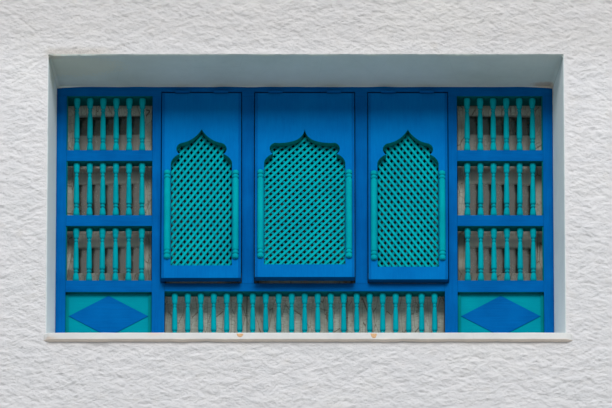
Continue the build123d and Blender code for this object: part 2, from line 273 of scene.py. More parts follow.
def stucco():
    """White masonry paint over rough trowelled render."""
    paint = Paint("white_render")
    cloud = paint.noise(0.55, 5, 0.6, shift=(2, 0, 5))
    blotch = paint.noise(0.05, 5, 0.62, stretch=(0.6, 1, 1.3), shift=(7, 1, 1))
    colour = paint.ramp(cloud, (0.30, srgb(225, 224, 226)), (0.50, srgb(229, 227, 229)), (0.72, srgb(232, 230, 230)))
    colour = paint.mix(paint.ramp(blotch, (0.42, 0.0), (0.76, 0.35)), colour, srgb(198, 200, 206))
    warm = paint.noise(0.09, 4, 0.6, shift=(1, 4, 9))
    colour = paint.mix(paint.ramp(warm, (0.60, 0.0), (0.80, 0.30)), colour, srgb(214, 206, 196))
    across = paint.math("ADD", paint.axis("X"), paint.math("MULTIPLY", blotch, 0.08))
    behind = paint.math("GREATER_THAN", paint.axis("Y"), FACE_Y + 0.030)
    outside = paint.math("GREATER_THAN", paint.math("ABSOLUTE", paint.math("SUBTRACT", across, 0.056)), 1.298)
    under_sill = paint.math("SUBTRACT", paint.axis("Z"), SEAT_Z - 0.040)
    under_sill = paint.ramp(paint.math("MULTIPLY_ADD", blotch, 0.016, under_sill), (0.014, 0.0), (0.036, 1.0), (0.054, 0.0))
    under_sill = paint.math("SUBTRACT", under_sill, paint.math("MAXIMUM", outside, behind), clamp=True)
    # Painted shade in the render's pits and crevices; in a band just under the sill it gives way to a faint warm tint.
    painted_pit_shade = paint.ramp(paint.hollows(0.012), (0.45, 0.78), (0.95, 1.0))
    painted_pit_shade = paint.mix(under_sill, painted_pit_shade, (1.0, 0.985, 0.970))
    colour = paint.mix(1.0, colour, painted_pit_shade, "MULTIPLY")
    # Darker and a little warmer towards the top of the wall.
    level = paint.math("SUBTRACT", paint.axis("Z"), 1.5)
    darker_up_high = paint.ramp(paint.math("MULTIPLY_ADD", across, 0.03, level), (0.42, 1.0), (0.66, (0.862, 0.852, 0.838)))
    colour = paint.mix(1.0, colour, darker_up_high, "MULTIPLY")
    upward = paint.math("ADD", paint.axis("Z"), paint.math("MULTIPLY", blotch, 0.03))
    left_part = paint.ramp(paint.math("MULTIPLY_ADD", across, 0.25, 0.5), (0.250, 1.0), (0.285, 0.0))
    left_end = paint.ramp(paint.math("MULTIPLY_ADD", across, 0.25, 0.5), (0.182, 0.0), (0.192, 1.0))
    near_edge = paint.ramp(paint.math("SUBTRACT", upward, 2.0), (0.062, 1.0), (0.092, 0.0))
    over_edge = paint.ramp(paint.math("SUBTRACT", upward, 2.0), (0.018, 0.0), (0.030, 1.0))
    crumbled = paint.math("MULTIPLY", paint.math("MULTIPLY", left_part, near_edge), paint.math("MULTIPLY", left_end, over_edge))
    crumbled = paint.math("SUBTRACT", crumbled, behind, clamp=True)
    crumbs = paint.noise(0.006, 4, 0.7, shift=(3, 3, 3))
    clay_tint = paint.ramp(crumbs, (0.35, srgb(168, 158, 146)), (0.55, srgb(204, 197, 187)), (0.75, srgb(212, 196, 184)))
    colour = paint.mix(paint.math("MULTIPLY", crumbled, 0.55), colour, clay_tint)
    grains = paint.noise(0.0024, 4, 0.65, stretch=(0.6, 1, 1.2))
    specks = paint.cells(0.0055, shift=(1, 2, 3))
    height = paint.math("ADD", paint.math("MULTIPLY", grains, 0.7), paint.math("MULTIPLY", specks, 0.4))
    rising = paint.noise(0.013, 4, 0.6, stretch=(0.36, 1, 1), warp=0.9, turn=0.42)
    falling = paint.noise(0.012, 4, 0.6, stretch=(0.34, 1, 1), shift=(4, 1, 7), warp=0.9, turn=-0.50)
    drags = paint.math("ADD", paint.ramp(rising, (0.40, 0.0), (0.46, 0.6), (0.58, 0.7), (0.63, 1.0)),
                       paint.math("MULTIPLY", paint.ramp(falling, (0.42, 0.0), (0.48, 0.6), (0.60, 0.7), (0.64, 1.0)), 0.8))
    coarse = paint.bump(drags, 0.60, 0.0032)
    gloss = paint.math("MULTIPLY_ADD", blotch, 0.14, 0.80)
    return paint.finish(colour, gloss, paint.bump(height, 0.55, 0.0022, under=coarse), Specular_IOR_Level=0.12)


def plaster(name, base, dark, light, stains=(), darkening=0.72, underside=None):
    """Smooth painted plaster with trowel waves, hairlines and painted shade in its hollows.

    Each stain is a place, its reach and a colour.
    """
    paint = Paint(name)
    cloud = paint.noise(0.30, 5, 0.6, shift=(1, 6, 3))
    blotch = paint.noise(0.05, 4, 0.6)
    colour = paint.ramp(cloud, (0.28, dark), (0.52, base), (0.76, light))
    colour = paint.mix(paint.ramp(blotch, (0.50, 0.0), (0.80, 0.28)), colour, dark)
    hair = paint.ramp(paint.cells(0.35, "DISTANCE_TO_EDGE", shift=(2, 2, 8)), (0.0, 0.85), (0.004, 1.0))
    colour = paint.mix(0.5, colour, paint.mix(1.0, colour, hair, "MULTIPLY"))
    ragged = paint.noise(0.012, 4, 0.65, shift=(5, 5, 1))
    for place, reach, tint in stains:
        away = paint.new("ShaderNodeVectorMath", operation="DISTANCE")
        squash = paint.new("ShaderNodeVectorMath", operation="MULTIPLY")
        paint.link(paint.place, squash.inputs[0])
        squash.inputs[1].default_value = (0.4, 1, 1)
        paint.link(squash.outputs["Vector"], away.inputs[0])
        away.inputs[1].default_value = (place[0] * 0.4, place[1], place[2])
        near = paint.math("MULTIPLY_ADD", ragged, reach, paint.math("SUBTRACT", away.outputs["Value"], reach))
        colour = paint.mix(paint.ramp(paint.math("MULTIPLY", near, 20.0), (0.0, 0.6), (0.35, 0.0)), colour, tint)
    # Painted shade: darker in corners and crevices.
    painted_shade = paint.ramp(paint.hollows(0.05), (0.20, darkening), (0.85, 1.0))
    colour = paint.mix(1.0, colour, painted_shade, "MULTIPLY")
    # Painted light: the sill's lowest few millimetres and underside take a lighter warm colour.
    if underside is not None:
        low = paint.math("MULTIPLY_ADD", ragged, 0.006, paint.math("SUBTRACT", paint.axis("Z"), SEAT_Z - 0.002))
        colour = paint.mix(paint.ramp(low, (0.007, 1.0), (0.011, 0.0)), colour, underside)
    height = paint.math("ADD", paint.math("MULTIPLY", paint.noise(0.02, 4), 1.0), paint.noise(0.0024, 3))
    gloss = paint.math("MULTIPLY_ADD", blotch, 0.16, 0.70)
    return paint.finish(colour, gloss, paint.bump(height, 0.30, 0.0014), Specular_IOR_Level=0.12)


def old_wood(name, base, dark, bare, warm, peeled, darker_below=(), streak=0.45, split=srgb(104, 84, 64),
             short=(1, 1, 0.45)):
    """Old off-white paint, cracked along the grain, with bare timber showing."""
    paint = Paint(name)
    cloud = paint.noise(0.12, 5, 0.62, shift=(3, 3, 1))
    grain = paint.noise(0.0045, 5, 0.65, stretch=(1, 1, 0.06), warp=0.4)
    colour = paint.ramp(cloud, (0.28, dark), (0.55, base), (0.78, warm))
    colour = paint.mix(paint.ramp(grain, (0.46, 0.0), (0.70, streak)), colour, dark)
    cracks = paint.cells(0.030, "DISTANCE_TO_EDGE", stretch=(1, 1, 0.16), shift=(5, 1, 2))
    crack = paint.ramp(cracks, (0.0, 0.10), (0.026, 1.0))
    fine_cells = paint.cells(0.017, "DISTANCE_TO_EDGE", stretch=short, shift=(1, 7, 4))
    fine_cracks = paint.ramp(fine_cells, (0.0, 0.45), (0.05, 1.0))
    crack = paint.math("MULTIPLY", crack, paint.math("MAXIMUM", fine_cracks, paint.ramp(cloud, (0.42, 1.0), (0.60, 0.0))))
    colour = paint.mix(crack, split, colour)
    peel = paint.ramp(paint.noise(0.045, 5, 0.65, stretch=(1, 1, 0.35), shift=(8, 2, 6)), (peeled, 0.0), (peeled + 0.04, 0.9))
    colour = paint.mix(peel, colour, paint.mix(grain, bare, dark))
    # Darker below each given level, by the given share, fading out over the given height.
    for below, share, fade in darker_below:
        height = paint.math("ADD", paint.axis("Z"), paint.math("MULTIPLY", cloud, 0.03))
        darkening = paint.ramp(paint.math("SUBTRACT", height, below), (0.0, share), (fade, 1.0))
        colour = paint.mix(1.0, colour, darkening, "MULTIPLY")
    # Painted shade: darker in corners and crevices.
    painted_shade = paint.ramp(paint.hollows(0.05), (0.20, 0.45), (0.85, 1.0))
    colour = paint.mix(1.0, colour, painted_shade, "MULTIPLY")
    height = paint.math("SUBTRACT", paint.math("ADD", grain, crack), paint.math("MULTIPLY", peel, 0.8))
    gloss = paint.math("MULTIPLY_ADD", grain, 0.25, 0.62)
    return paint.finish(colour, gloss, paint.bump(height, 0.5, 0.0014), Specular_IOR_Level=0.3)


# Pale bands on the glass: painted light just under the rails, where they shade it, and a painted reflection of the
# street low in the top row.
UNDER_RAIL = ((0.0, 0.0), (0.016, 1.0), (0.060, 0.72), (0.085, 0.24), (0.110, 0.10), (0.125, 0.0))
LOW_PANE = ((0.0, 0.0), (0.004, 0.29), (0.128, 0.29), (0.134, 0.0))
PAINTED_LIGHT_BANDS = ((1.534, UNDER_RAIL), (1.176, UNDER_RAIL), (1.684, LOW_PANE))


def dusty_glass(name, index, bands=()):
    """Dark window glass that mirrors the street, with a film of dust on it.

    Each band is the level where it starts and how strongly pale painted light lies at heights over that.
    """
    paint = Paint(name)
    dust = paint.noise(0.05, 5, 0.62, shift=(4, 1, 2))
    streak = paint.noise(0.02, 4, 0.6, stretch=(1, 1, 0.12))
    film = paint.math("MULTIPLY", dust, streak)
    veil = paint.ramp(film, (0.14, srgb(26, 23, 17)), (0.28, srgb(50, 46, 38)), (0.46, srgb(96, 93, 80)))
    gloss = paint.math("MULTIPLY_ADD", film, 0.5, 0.03)
    level = paint.math("ADD", paint.axis("Z"), paint.math("MULTIPLY", dust, 0.012))
    pale_painted_light = paint.ramp(film, (0.14, srgb(212, 208, 192)), (0.46, srgb(240, 237, 222)))
    for start, shares_of_painted_light in bands:
        painted_light_band = paint.ramp(paint.math("SUBTRACT", level, start + 0.006), *shares_of_painted_light)
        veil = paint.mix(painted_light_band, veil, pale_painted_light)
        gloss = paint.math("MULTIPLY_ADD", painted_light_band, 0.25, gloss)
    paint.shader.inputs["Specular Tint"].default_value = (0.96, 1.0, 0.93, 1.0)
    paint.shader.inputs["IOR"].default_value = index
    return paint.finish(veil, gloss, paint.bump(dust, 0.05, 0.001))


WARM = srgb(196, 172, 150)
CORNER_STAINS = [
    ((HALF_FRAME - 0.03, FRAME_Y - 0.02, FRAME_TOP), 0.035, WARM),
    ((HALF_FRAME + 0.01, FRAME_Y - 0.01, FRAME_TOP - 0.05), 0.020, WARM),
    ((-HALF_FRAME - 0.02, FACE_Y + 0.02, FRAME_TOP - 0.01), 0.024, WARM),
    ((-HALF_FRAME + 0.05, FACE_Y + 0.12, FRAME_TOP), 0.200, srgb(216, 217, 200)),
]
SILL_STAINS = [
    ((-0.745, FACE_Y - 0.02, SEAT_Z + 0.034), 0.006, srgb(232, 210, 196)),
    ((-1.270, FACE_Y - 0.02, SEAT_Z + 0.004), 0.010, srgb(200, 178, 160)),
]
render_white = stucco()
# White plaster, with a faint cyan-green tint painted in for light thrown back from the blue and teal paint; the jambs
# take a lighter copy, painted light.
reveal_plaster = plaster("reveal_plaster", srgb(210, 220, 216), srgb(198, 208, 204), srgb(218, 227, 224),
                         CORNER_STAINS)
jamb_plaster_painted_light = plaster("jamb_plaster_painted_light", srgb(236, 243, 243), srgb(226, 234, 235), srgb(241, 247, 246),
                       CORNER_STAINS, darkening=0.90)
# The sill's underside colour is painted light.
sill_plaster = plaster("sill_plaster", srgb(222, 222, 221), srgb(211, 211, 211), srgb(228, 228, 227),
                       SILL_STAINS, darkening=0.95, underside=srgb(250, 236, 224))
inner_wood = old_wood("inner_wood", srgb(226, 229, 216), srgb(176, 174, 156), srgb(140, 112, 86), srgb(232, 230, 214),
                      0.64, darker_below=((1.058, 0.54, 0.020), (1.600, 0.64, 0.060)), streak=0.30)
# A darker copy of the old window's wood, painted shade behind the leaves.
shaded_wood = old_wood("inner_wood_shaded", srgb(92, 104, 104), srgb(66, 76, 76), srgb(72, 72, 66), srgb(102, 112, 110), 0.60)
inner_board = old_wood("inner_board", srgb(216, 222, 209), srgb(168, 168, 154), srgb(132, 102, 82), srgb(222, 224, 211),
                       0.63, darker_below=((0.755, 0.72, 0.080),), streak=0.35, short=(0.34, 1, 1.3))
mirror_glass = dusty_glass("dusty_glass", 1.92, PAINTED_LIGHT_BANDS)
plain_glass = dusty_glass("dusty_glass_inside", 1.5)
shaded_glass = dusty_glass("dusty_glass_shaded", 1.1)


def chip_clay():
    """Fired clay that shows where the plaster has come off."""
    paint = Paint("bare_clay")
    grit = paint.noise(0.004, 4, 0.6)
    colour = paint.ramp(grit, (0.3, srgb(204, 156, 116)), (0.55, srgb(230, 186, 142)), (0.8, srgb(242, 214, 184)))
    return paint.finish(colour, 0.9, paint.bump(grit, 0.6, 0.002), Specular_IOR_Level=0.2)


clay = chip_clay()


# Mesh helpers
def mesh_object(name, bm, materials):
    """A new object from a bmesh."""
    mesh = bpy.data.meshes.new(name)
    bm.to_mesh(mesh)
    bm.free()
    for material in materials:
        mesh.materials.append(material)
    piece = bpy.data.objects.new(name, mesh)
    scene.collection.objects.link(piece)
    return piece


def keep(piece, slot, *replaced):
    """Rides with the wall and stands for the CAD nodes."""
    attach(piece, "root")
    if replaced:
        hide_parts(*replaced)
    return piece


def dressed(node, slot, materials, bevel=0.0022, segments=2, chooser=None, cuts=(), reshape=None):
    """A CAD node's own shape with eased edges, which replaces it."""
    bm = bmesh.new()
    bm.from_mesh(nodes[node].data)
    bmesh.ops.remove_doubles(bm, verts=bm.verts, dist=1e-6)
    bmesh.ops.dissolve_limit(bm, angle_limit=math.radians(1.0), verts=bm.verts, edges=bm.edges)
    if reshape:
        reshape(bm)
    for x in cuts:
        everything = list(bm.verts) + list(bm.edges) + list(bm.faces)
        bmesh.ops.bisect_plane(bm, geom=everything, plane_co=(x, 0, 0), plane_no=(1, 0, 0))
    sharp = [edge for edge in bm.edges if edge.is_manifold and edge.calc_face_angle(0) > math.radians(25)]
    bmesh.ops.bevel(
        bm, geom=sharp, offset=bevel, offset_type="OFFSET", segments=segments, profile=0.7,
        affect="EDGES", clamp_overlap=True,
    )
    for face in bm.faces:
        face.smooth = True
        face.material_index = chooser(face) if chooser else 0
    piece = mesh_object(f"{node}_dressed", bm, materials)
    weighted = piece.modifiers.new("weighted", "WEIGHTED_NORMAL")
    weighted.keep_sharp = True
    return keep(piece, slot, node)


def box_piece(name, slot, material, low, high, turn=None, bevel=0.0008):
    """A small block with eased edges that is only in the scene."""
    bm = bmesh.new()
    bmesh.ops.create_cube(bm, size=1.0)
    size = Vector(high) - Vector(low)
    middle = (Vector(high) + Vector(low)) / 2
    bmesh.ops.transform(bm, matrix=Matrix.Translation(middle) @ Matrix.Diagonal((*size, 1.0)), verts=bm.verts)
    bmesh.ops.bevel(bm, geom=list(bm.edges), offset=bevel, segments=1, affect="EDGES", clamp_overlap=True)
    if turn is not None:
        bmesh.ops.transform(bm, matrix=turn, verts=bm.verts)
    return keep(mesh_object(name, bm, [material]), slot)


# Blue frame: upright pieces have the grain along Z, level ones along X
def rail_faces(face):
    """Faces that look down are teal on the rails."""
    return 1 if face.normal.z < -0.7 else 0


def head_faces(face):
    """The head's underside is teal over the side bays."""
    return 1 if face.normal.z < -0.7 and abs(face.calc_center_median().x) > BAY_INNER - 0.01 else 0


def post_faces(face):
    """Faces of the posts that look into a row of balusters are teal."""
    if abs(face.normal.x) < 0.7:
        return 0
    place = face.calc_center_median()
    inward = -math.copysign(1, place.x)
    beside_bay = abs(place.x) > BAY_OUTER - 0.02 or abs(abs(place.x) - BAY_INNER) < 0.003
    to_bay = face.normal.x * inward > 0 if abs(place.x) > BAY_OUTER - 0.02 else face.normal.x * inward < 0
    under_leaves = abs(abs(place.x) - CENTRE_HALF) < 0.003 and place.z < CENTRE_RAIL_LOW
    return 1 if (beside_bay and to_bay) or under_leaves else 0


def panel_faces(face):
    """The battens at a panel's sides are darker."""
    place = face.calc_center_median()
    beside = min(abs(abs(place.x) - BAY_OUTER), abs(abs(place.x) - BAY_INNER))
    return 1 if beside < 0.017 and place.y < FRAME_Y + 0.0215 else 0


for side, sign in SIDES.items():
    dressed(f"frame_stile_{side}", "blue_paint", [blue_z, dark_teal_z], chooser=post_faces)
    dressed(f"mullion_outer_{side}", "blue_paint", [blue_z, dark_teal_z], chooser=post_faces)
    dressed(f"mullion_inner_{side}", "blue_paint", [blue_z])
    dressed(f"rails_{side}", "blue_paint", [blue_x, dark_teal_x], chooser=rail_faces)
    dressed(f"panel_{side}", "teal_paint", [panel_teal, batten_teal], bevel=0.0008, chooser=panel_faces)
    dressed(f"diamond_{side}", "blue_paint", [blue_x], bevel=0.0014)
    edge = sign * (BAY_OUTER - 0.006)
    for level, (low, high) in {"low": (0.933, 1.238), "mid": (1.299, 1.604), "top": (1.665, OPENING_TOP)}.items():
        across = sorted((edge, sign * BAY_OUTER))
        box_piece(f"bay_lining_{side}_{level}", "teal_paint", dark_teal_z,
                  (across[0], FRAME_Y + 0.004, low + 0.0005), (across[1], FRAME_Y + 0.058, high - 0.0005))
dressed("frame_head", "blue_paint", [blue_x, dark_teal_x], chooser=head_faces, cuts=(-BAY_INNER, BAY_INNER))
dressed("frame_bottom_rail", "blue_paint", [blue_x])
dressed("frame_centre_rail", "blue_paint", [shaded_rail_blue, dark_teal_x], chooser=rail_faces)


# Turned pieces: distance from an end, and radius as a share of the diameter
HEAD = ((0, 0.485), (4, 0.49), (20, 0.49), (28, 0.475), (33, 0.435), (36, 0.415), (40, 0.43), (46, 0.425), (52, 0.395),
        (56, 0.345), (58.5, 0.245), (60.5, 0.225), (62.5, 0.260), (65, 0.335), (69, 0.345), (72.5, 0.320),
        (74.5, 0.240), (76.5, 0.235), (79, 0.300))
FOOT = ((0, 0.485), (20, 0.485), (30, 0.465), (40, 0.430), (50, 0.385), (53, 0.350), (55, 0.245), (57, 0.245),
        (59, 0.340), (62.5, 0.385), (67.5, 0.385), (70.5, 0.345), (72, 0.250), (74, 0.250), (76, 0.350), (79, 0.415),
        (83, 0.435))
SHAFT_TOP = 0.30
SHAFT_FOOT = 0.435
TURN_SEGMENTS = 24


def turning(height, seed):
    """The outline of one hand turned baluster, a little unlike the next."""
    draw = random.Random(seed)
    sway = [draw.uniform(-1, 1) for _ in range(4)]
    outline = [(d / 1000 + 0.0012 * sway[0] * (d > 20), r * BALUSTER) for d, r in HEAD]
    low = height - FOOT[-1][0] / 1000 + 0.0012 * sway[1]
    top = outline[-1][0]
    steps = 10
    for step in range(1, steps):
        t = step / steps
        swell = SHAFT_TOP + (SHAFT_FOOT - SHAFT_TOP) * (t ** (0.5 + 0.05 * sway[2]))
        outline.append((top + (low - top) * t, swell * BALUSTER * (1 + 0.012 * sway[3])))
    outline += [
        (height - d / 1000 + 0.0012 * sway[1] * (d > 30), r * BALUSTER) for d, r in reversed(FOOT)
    ]
    outline.sort()
    return outline


def lathe(bm, outline, place, segments=TURN_SEGMENTS, half=False, frame_matrix=None):
    """Adds a piece turned about Z below its place."""
    count = segments // 2 + 1 if half else segments
    rings = []
    for depth, radius in outline:
        ring = []
        for index in range(count):
            angle = math.pi + math.pi * index / (count - 1) if half else 2 * math.pi * index / count
            point = Vector((radius * math.cos(angle), radius * math.sin(angle), -depth)) + place
            if frame_matrix is not None:
                point = frame_matrix @ point
            ring.append(bm.verts.new(point))
        rings.append(ring)
    span = count - 1 if half else count
    for upper, lower in zip(rings[:-1], rings[1:]):
        for index in range(span):
            after = (index + 1) % count
            face = bm.faces.new((upper[index], lower[index], lower[after], upper[after]))
            face.smooth = True
        if half:
            bm.faces.new((upper[0], upper[-1], lower[-1], lower[0]))
    bm.faces.new(rings[0])
    bm.faces.new(list(reversed(rings[-1])))


def baluster_row(node, seed):
    """Smooth turned balusters in the places of one node's solids."""
    low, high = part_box(node)
    count = 21 if node == "balusters_centre" else 6
    bm = bmesh.new()
    first = low[0] + BALUSTER / 2
    pitch = (high[0] - low[0] - BALUSTER) / (count - 1)
    for index in range(count):
        place = Vector((first + pitch * index, BALUSTER_Y, high[2]))
        lathe(bm, turning(high[2] - low[2], seed * 100 + index), place)
    bmesh.ops.recalc_face_normals(bm, faces=bm.faces)
    # The top rows take the lighter teal, painted light.
    piece = mesh_object(f"{node}_turned", bm, [top_rows_painted_light_teal if node.endswith("top") else teal_z])
    return keep(piece, "teal_paint", node)


row_names = [f"balusters_{side}_{level}" for side in SIDES for level in ("bottom", "middle", "top")]
for seed, node in enumerate(row_names + ["balusters_centre"]):
    baluster_row(node, seed)


# Leaves: boards, slats, half columns, edge strips and hinges
COLUMN = ((6, 0.29), (7.2, 0.38), (9.5, 0.45), (13, 0.485), (18, 0.50), (26, 0.50), (28.5, 0.475), (30, 0.40),
          (31.5, 0.375), (33, 0.40), (35, 0.475), (42, 0.50), (48, 0.485), (50.5, 0.41), (52, 0.38),
          (53.5, 0.40), (56, 0.47), (60, 0.495))


def leaf_turn(leaf):
    """From the upright leaf's own place to where it hangs."""
    place = Matrix.Translation((LEAF_MIDDLE[leaf], FRAME_Y, LEAF_TOP))
    return place @ Matrix.Rotation(math.radians(-TILT[leaf]), 4, "X")


def arch_faces(leaf):
    """The cut edge of the arch is dark teal."""
    half = LEAF_WIDTH[leaf] / 2 - ARCH_MARGIN + 0.002

    def choose(face):
        place = face.calc_center_median()
        inside = abs(place.x - LEAF_MIDDLE[leaf]) < half and 0.98 < place.z < 1.80
        # The leaf's underside takes the darker blue, painted shade.
        if face.normal.z < -0.7 and place.z < 0.95:
            return 2
        return 1 if inside and abs(face.normal.y) < 0.6 else 0
    return choose


def slat_faces(leaf):
    """The slats of the rear layer are darker than those in front."""
    back = leaf_turn(leaf).inverted()
    return lambda face: 1 if (back @ face.calc_center_median()).y > 0.04245 else 0


def leaf_columns(leaf):
    """Smooth half columns in the places of the leaf's two solids."""
    turn = leaf_turn(leaf)
    away = LEAF_WIDTH[leaf] / 2 - ARCH_MARGIN + COLUMN_OFFSET
    outline = [(d / 1000, r * BALUSTER) for d, r in COLUMN]
    outline += [(COLUMN_HEIGHT - d, r) for d, r in reversed(outline)]
    bm = bmesh.new()
    for sign in (-1, 1):
        lathe(bm, outline, Vector((sign * away, 0, COLUMN_TOP)), half=True, frame_matrix=turn)
    bmesh.ops.recalc_face_normals(bm, faces=bm.faces)
    piece = mesh_object(f"leaf_{leaf}_columns_turned", bm, [column_teal])
    return keep(piece, "teal_paint", f"leaf_{leaf}_columns")


def lowered_top(bm):
    """The leaf's top edge was planed to clear the head."""
    for vert in bm.verts:
        if vert.co.z > LEAF_TOP - 0.004:
            vert.co.z -= 0.0022


def slimmed(bm):
    """Draws each slat's two edges in, since hand sawn slats come out a little slim."""
    todo = set(bm.verts)
    while todo:
        island, queue = set(), [todo.pop()]
        while queue:
            vert = queue.pop()
            island.add(vert)
            for edge in vert.link_edges:
                other = edge.other_vert(vert)
                if other in todo:
                    todo.discard(other)
                    queue.append(other)
        longest = max({edge for vert in island for edge in vert.link_edges}, key=lambda edge: edge.calc_length())
        along = (longest.verts[1].co - longest.verts[0].co).normalized()
        if longest.calc_length() < 0.03:
            continue
        middle = longest.verts[0].co.copy()
        broad = max((face for face in longest.link_faces), key=lambda face: face.calc_area())
        across = along.cross(broad.normal).normalized()
        places = [(vert.co - middle).dot(across) for vert in island]
        centre = (min(places) + max(places)) / 2
        half = (max(places) - min(places)) / 2
        for vert, place in zip(island, places):
            vert.co -= across * SLAT_SLIM * (place - centre) / half


for leaf, middle in LEAF_MIDDLE.items():
    dressed(f"leaf_{leaf}_board", "blue_paint", [leaf_blue, arch_teal, shaded_blue], bevel=0.0024, chooser=arch_faces(leaf),
            reshape=lowered_top)
    dressed(f"leaf_{leaf}_lattice", "teal_paint", [lattice_teal, back_teal], bevel=0.0006, segments=1,
            chooser=slat_faces(leaf), reshape=slimmed)
    dressed(f"leaf_{leaf}_hinges", "hinge_paint", [blue_x], bevel=0.0009, segments=1)
    leaf_columns(leaf)
    for side, sign in SIDES.items():
        across = sorted((sign * (LEAF_WIDTH[leaf] / 2 - 0.0025), sign * (LEAF_WIDTH[leaf] / 2 - 0.0130)))
        box_piece(f"leaf_{leaf}_edge_{side}", "blue_paint", blue_z, (across[0], -0.0009, -LEAF_HEIGHT + 0.003),
                  (across[1], 0.0002, -0.003), turn=leaf_turn(leaf), bevel=0.0003)

# Inner window
def behind_leaves(face):
    """The old window's wood behind the leaves takes a darker copy of its paint, painted shade."""
    place = face.calc_center_median()
    return 1 if abs(place.x) < CENTRE_HALF + 0.001 and place.z > 0.93 else 0


for node in ("inner_frame", "inner_casement_left", "inner_casement_right", "inner_casements_centre"):
    dressed(node, "weathered_wood", [inner_wood, shaded_wood], bevel=0.0025, chooser=behind_leaves,
            cuts=(-CENTRE_HALF, CENTRE_HALF) if node == "inner_frame" else ())
dressed("inner_boards", "weathered_boards", [inner_board], bevel=0.0025)


def pane_faces(face):
    """The panes behind the leaves mirror little, and the inner sides carry no pale bands."""
    if face.normal.y > -0.5:
        return 2
    return 1 if abs(face.calc_center_median().x) < CENTRE_HALF else 0


glass = dressed("inner_glass", "glass", [mirror_glass, shaded_glass, plain_glass], bevel=0.0005, segments=1, chooser=pane_faces)
for vert in glass.data.vertices:
    if abs(vert.co.x) > CENTRE_HALF:
        pane_middle = math.copysign((BAYS["right"][0] + BAYS["right"][1]) / 2, vert.co.x)
        vert.co.y += (vert.co.x - pane_middle) * math.copysign(PANE_SKEW, vert.co.x)


# Stops behind the casements and boards, which close their seams
STOP_Y = (0.2392, 0.2442)
CASEMENTS = (0.9702, 1.982)
BOARDS = (0.544, 0.930)


def stops(name, bay, seams, low, high, depth, wide=0.016):
    """Strips behind a bay's edges and its seams."""
    x0, x1 = BAYS[bay]
    edges = [(x0, x0 + wide), (x1 - wide, x1)] + [(seam - wide / 2, seam + wide / 2) for seam in seams]
    # The centre bay's stops, behind the leaves, take the darker wood, painted shade.
    wood = shaded_wood if bay == "centre" else inner_wood
    for index, (left, right) in enumerate(edges):
        box_piece(f"{name}_{index}", "weathered_wood", wood, (left, depth[0], low), (right, depth[1], high))
    if high > FRAME_TOP - 0.1:
        box_piece(f"{name}_top", "weathered_wood", wood, (x0 + wide, depth[0], high - wide),
                  (x1 - wide, depth[1], high))


CASEMENT_SEAMS = (-0.2315, 0.2335)
for bay in BAYS:
    stops(f"casement_stop_{bay}", bay, CASEMENT_SEAMS if bay == "centre" else (), *CASEMENTS, STOP_Y)
    stops(f"board_stop_{bay}", bay, (-0.288, 0.211) if bay == "centre" else (), *BOARDS, (0.2314, STOP_Y[1]))


# Masonry: rough render round the niche, smooth plaster inside it
def photo_place(px, py):
    """Where a pixel of the photograph lies on the wall's face."""
    return (px - 304.7) * 0.005, 0.5 + (327.1 - py) * 0.00561


DRAWN = [
    ((2, 7), (36, 32), -1.6), ((44, 60), (28, 72), 1.5), ((77, 375), (89, 394), -1.2), ((116, 373), (137, 389), -1.2),
    ((172, 382), (187, 367), -1.3), ((191, 356), (227, 351), 1.2), ((190, 387), (219, 397), -1.4),
    ((24, 374), (35, 368), 1.2), ((590, 88), (611, 103), -1.6), ((597, 118), (611, 126), -1.3),
    ((579, 80), (595, 73), 1.3), ((575, 115), (587, 112), -1.2),
]
BUCKET = 0.25
strokes_by_bucket = {}


def add_stroke(start, end, depth, width):
    """A groove or ridge left by the trowel, filed by the places it can touch."""
    x0, z0 = start
    x1, z1 = end
    stroke = (x0, z0, x1 - x0, z1 - z0, depth, width)
    reach = width * 3
    for i in range(math.floor((min(x0, x1) - reach) / BUCKET), math.floor((max(x0, x1) + reach) / BUCKET) + 1):
        for k in range(math.floor((min(z0, z1) - reach) / BUCKET), math.floor((max(z0, z1) + reach) / BUCKET) + 1):
            strokes_by_bucket.setdefault((i, k), []).append(stroke)


for start, end, depth in DRAWN:
    add_stroke(photo_place(*start), photo_place(*end), depth * 0.001, 0.0055)
trowel = random.Random(11)
for _ in range(1050):
    x, z = trowel.uniform(-HALF_WALL, HALF_WALL), trowel.uniform(0, WALL_HEIGHT)
    lean = math.radians(trowel.choice((-32, -20, -8, 4, 12, 28, 40)) + trowel.uniform(-8, 8))
    reach = trowel.uniform(0.009, 0.046)
    run = (math.cos(lean) * reach, math.sin(lean) * reach)
    depth = trowel.choice((-1, -1, -1, 1)) * trowel.uniform(0.0007, 0.0018)
    add_stroke((x - run[0], z - run[1]), (x + run[0], z + run[1]), depth, trowel.uniform(0.0034, 0.0052))


def stroke_height(x, z):
    """What the trowel's strokes add at a place."""
    total = 0.0
    for x0, z0, dx, dz, depth, width in strokes_by_bucket.get((math.floor(x / BUCKET), math.floor(z / BUCKET)), ()):
        square = dx * dx + dz * dz
        along = max(0.0, min(1.0, ((x - x0) * dx + (z - z0) * dz) / square))
        bow = 0.004 * math.sin(along * math.pi)
        away = math.hypot(x - x0 - dx * along, z - z0 - dz * along - bow) / width
        if away < 3:
            total += depth * math.exp(-away * away) * min(1.0, 4 * along + 0.2, 4 * (1 - along) + 0.2)
    return total


def dabs(x, z, lean, long, high, seed):
    """Broken ridges that run at one lean, from 0 to 1."""
    c, s = math.cos(lean), math.sin(lean)
    u = (x * c + z * s) / long
    v = (z * c - x * s) / high
    line = 1.0 - abs(noise.noise(Vector((u, seed, v + 0.35 * noise.noise(Vector((u * 0.7, seed + 3, v * 0.4)))))))
    return max(0.0, line) ** 5


